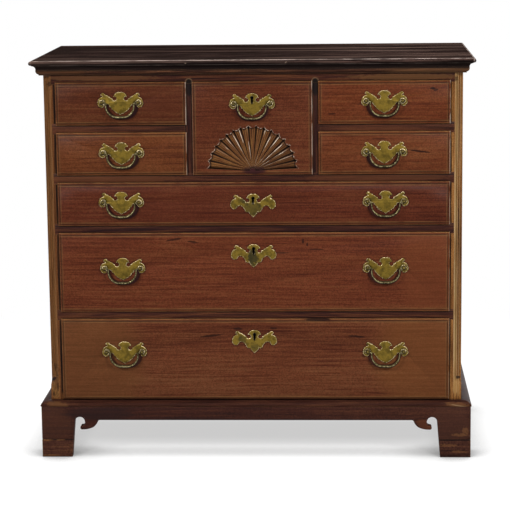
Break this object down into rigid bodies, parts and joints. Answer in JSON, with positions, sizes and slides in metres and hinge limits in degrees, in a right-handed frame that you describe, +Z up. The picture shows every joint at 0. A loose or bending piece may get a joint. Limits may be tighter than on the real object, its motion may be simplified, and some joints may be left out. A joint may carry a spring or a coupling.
{
  "type": "chest of drawers",
  "caption": "Chest with lipped drawers in graduated rows, a sunk fan on the deep centre drawer, fluted chamfered posts, bat-wing pulls and a bracket base.",
  "frame": {"origin": "on the floor, under the middle of the top board", "axes": "+X to the right as seen from the front, -Y towards the front, +Z up"},
  "size_m": [1.05, 0.53, 0.9615],
  "materials": {
    "top_wood": "old dark varnish with a grey sheen",
    "moulding_wood": "brown varnished mahogany",
    "case_wood": "brown varnished mahogany",
    "post_wood": "golden brown varnished mahogany",
    "rail_wood": "dark brown varnished mahogany",
    "drawer_wood": "red brown varnished mahogany",
    "base_wood": "dark brown varnished mahogany",
    "foot_wood": "dark brown varnished mahogany",
    "lining_wood": "unfinished aged poplar",
    "drawer_lining": "unfinished aged poplar",
    "brass": "aged cast brass",
    "lock_iron": "filed iron"
  },
  "bodies": {
    "case": {"top_board": "top_wood", "bed_moulding": "moulding_wood", "base_moulding": "moulding_wood", "left_side": "case_wood", "right_side": "case_wood", "left_corner_post": "post_wood", "right_corner_post": "post_wood", "back_boards": "lining_wood", "bottom_board": "lining_wood", "top_rail": "rail_wood", "drawer_rails": "rail_wood", "short_rails": "rail_wood", "drawer_dividers": "rail_wood", "partitions": "lining_wood", "drawer_runners": "lining_wood", "base_front": "base_wood", "base_left": "base_wood", "base_right": "base_wood", "foot_tips": "foot_wood", "rear_foot_braces": "lining_wood", "glue_blocks": "lining_wood"},
    "upper_left_drawer": {"upper_left_drawer_front": "drawer_wood", "upper_left_drawer_box": "drawer_lining", "upper_left_drawer_fittings": "brass"},
    "upper_left_drawer_bail": {"upper_left_drawer_bail": "brass"},
    "lower_left_drawer": {"lower_left_drawer_front": "drawer_wood", "lower_left_drawer_box": "drawer_lining", "lower_left_drawer_fittings": "brass"},
    "lower_left_drawer_bail": {"lower_left_drawer_bail": "brass"},
    "fan_drawer": {"fan_drawer_front": "drawer_wood", "fan_drawer_box": "drawer_lining", "fan_drawer_fittings": "brass"},
    "fan_drawer_bail": {"fan_drawer_bail": "brass"},
    "fan_drawer_lock_bolt": {"fan_drawer_lock_bolt": "lock_iron"},
    "upper_right_drawer": {"upper_right_drawer_front": "drawer_wood", "upper_right_drawer_box": "drawer_lining", "upper_right_drawer_fittings": "brass"},
    "upper_right_drawer_bail": {"upper_right_drawer_bail": "brass"},
    "lower_right_drawer": {"lower_right_drawer_front": "drawer_wood", "lower_right_drawer_box": "drawer_lining", "lower_right_drawer_fittings": "brass"},
    "lower_right_drawer_bail": {"lower_right_drawer_bail": "brass"},
    "top_long_drawer": {"top_long_drawer_front": "drawer_wood", "top_long_drawer_box": "drawer_lining", "top_long_drawer_fittings": "brass"},
    "top_long_drawer_left_bail": {"top_long_drawer_left_bail": "brass"},
    "top_long_drawer_right_bail": {"top_long_drawer_right_bail": "brass"},
    "top_long_drawer_lock_bolt": {"top_long_drawer_lock_bolt": "lock_iron"},
    "middle_long_drawer": {"middle_long_drawer_front": "drawer_wood", "middle_long_drawer_box": "drawer_lining", "middle_long_drawer_fittings": "brass"},
    "middle_long_drawer_left_bail": {"middle_long_drawer_left_bail": "brass"},
    "middle_long_drawer_right_bail": {"middle_long_drawer_right_bail": "brass"},
    "middle_long_drawer_lock_bolt": {"middle_long_drawer_lock_bolt": "lock_iron"},
    "bottom_long_drawer": {"bottom_long_drawer_front": "drawer_wood", "bottom_long_drawer_box": "drawer_lining", "bottom_long_drawer_fittings": "brass"},
    "bottom_long_drawer_left_bail": {"bottom_long_drawer_left_bail": "brass"},
    "bottom_long_drawer_right_bail": {"bottom_long_drawer_right_bail": "brass"},
    "bottom_long_drawer_lock_bolt": {"bottom_long_drawer_lock_bolt": "lock_iron"}
  },
  "joints": [
    {"name": "upper_left_drawer_slide", "type": "slide", "parent": "case", "child": "upper_left_drawer", "axis": [0, -1, 0], "range_m": [0, 0.38]},
    {"name": "upper_left_drawer_bail_swing", "type": "hinge", "parent": "upper_left_drawer", "child": "upper_left_drawer_bail", "pos_m": [-0.3115, -0.2585, 0.862], "axis": [-1, 0, 0], "range_deg": [-14, 194]},
    {"name": "lower_left_drawer_slide", "type": "slide", "parent": "case", "child": "lower_left_drawer", "axis": [0, -1, 0], "range_m": [0, 0.38]},
    {"name": "lower_left_drawer_bail_swing", "type": "hinge", "parent": "lower_left_drawer", "child": "lower_left_drawer_bail", "pos_m": [-0.3115, -0.2585, 0.7425], "axis": [-1, 0, 0], "range_deg": [-14, 194]},
    {"name": "fan_drawer_slide", "type": "slide", "parent": "case", "child": "fan_drawer", "axis": [0, -1, 0], "range_m": [0, 0.38]},
    {"name": "fan_drawer_bail_swing", "type": "hinge", "parent": "fan_drawer", "child": "fan_drawer_bail", "pos_m": [0, -0.2585, 0.857], "axis": [-1, 0, 0], "range_deg": [-14, 194]},
    {"name": "fan_drawer_lock_bolt_throw", "type": "slide", "parent": "fan_drawer", "child": "fan_drawer_lock_bolt", "axis": [0, 0, 1], "range_m": [0, 0.008]},
    {"name": "upper_right_drawer_slide", "type": "slide", "parent": "case", "child": "upper_right_drawer", "axis": [0, -1, 0], "range_m": [0, 0.38]},
    {"name": "upper_right_drawer_bail_swing", "type": "hinge", "parent": "upper_right_drawer", "child": "upper_right_drawer_bail", "pos_m": [0.3115, -0.2585, 0.862], "axis": [-1, 0, 0], "range_deg": [-14, 194]},
    {"name": "lower_right_drawer_slide", "type": "slide", "parent": "case", "child": "lower_right_drawer", "axis": [0, -1, 0], "range_m": [0, 0.38]},
    {"name": "lower_right_drawer_bail_swing", "type": "hinge", "parent": "lower_right_drawer", "child": "lower_right_drawer_bail", "pos_m": [0.3115, -0.2585, 0.7425], "axis": [-1, 0, 0], "range_deg": [-14, 194]},
    {"name": "top_long_drawer_slide", "type": "slide", "parent": "case", "child": "top_long_drawer", "axis": [0, -1, 0], "range_m": [0, 0.38]},
    {"name": "top_long_drawer_left_bail_swing", "type": "hinge", "parent": "top_long_drawer", "child": "top_long_drawer_left_bail", "pos_m": [-0.3145, -0.2585, 0.624], "axis": [-1, 0, 0], "range_deg": [-14, 194]},
    {"name": "top_long_drawer_right_bail_swing", "type": "hinge", "parent": "top_long_drawer", "child": "top_long_drawer_right_bail", "pos_m": [0.3145, -0.2585, 0.624], "axis": [-1, 0, 0], "range_deg": [-14, 194]},
    {"name": "top_long_drawer_lock_bolt_throw", "type": "slide", "parent": "top_long_drawer", "child": "top_long_drawer_lock_bolt", "axis": [0, 0, 1], "range_m": [0, 0.008]},
    {"name": "middle_long_drawer_slide", "type": "slide", "parent": "case", "child": "middle_long_drawer", "axis": [0, -1, 0], "range_m": [0, 0.38]},
    {"name": "middle_long_drawer_left_bail_swing", "type": "hinge", "parent": "middle_long_drawer", "child": "middle_long_drawer_left_bail", "pos_m": [-0.3145, -0.2585, 0.464], "axis": [-1, 0, 0], "range_deg": [-14, 194]},
    {"name": "middle_long_drawer_right_bail_swing", "type": "hinge", "parent": "middle_long_drawer", "child": "middle_long_drawer_right_bail", "pos_m": [0.3145, -0.2585, 0.464], "axis": [-1, 0, 0], "range_deg": [-14, 194]},
    {"name": "middle_long_drawer_lock_bolt_throw", "type": "slide", "parent": "middle_long_drawer", "child": "middle_long_drawer_lock_bolt", "axis": [0, 0, 1], "range_m": [0, 0.008]},
    {"name": "bottom_long_drawer_slide", "type": "slide", "parent": "case", "child": "bottom_long_drawer", "axis": [0, -1, 0], "range_m": [0, 0.38]},
    {"name": "bottom_long_drawer_left_bail_swing", "type": "hinge", "parent": "bottom_long_drawer", "child": "bottom_long_drawer_left_bail", "pos_m": [-0.3145, -0.2585, 0.2595], "axis": [-1, 0, 0], "range_deg": [-14, 194]},
    {"name": "bottom_long_drawer_right_bail_swing", "type": "hinge", "parent": "bottom_long_drawer", "child": "bottom_long_drawer_right_bail", "pos_m": [0.3145, -0.2585, 0.2595], "axis": [-1, 0, 0], "range_deg": [-14, 194]},
    {"name": "bottom_long_drawer_lock_bolt_throw", "type": "slide", "parent": "bottom_long_drawer", "child": "bottom_long_drawer_lock_bolt", "axis": [0, 0, 1], "range_m": [0, 0.008]}
  ]
}
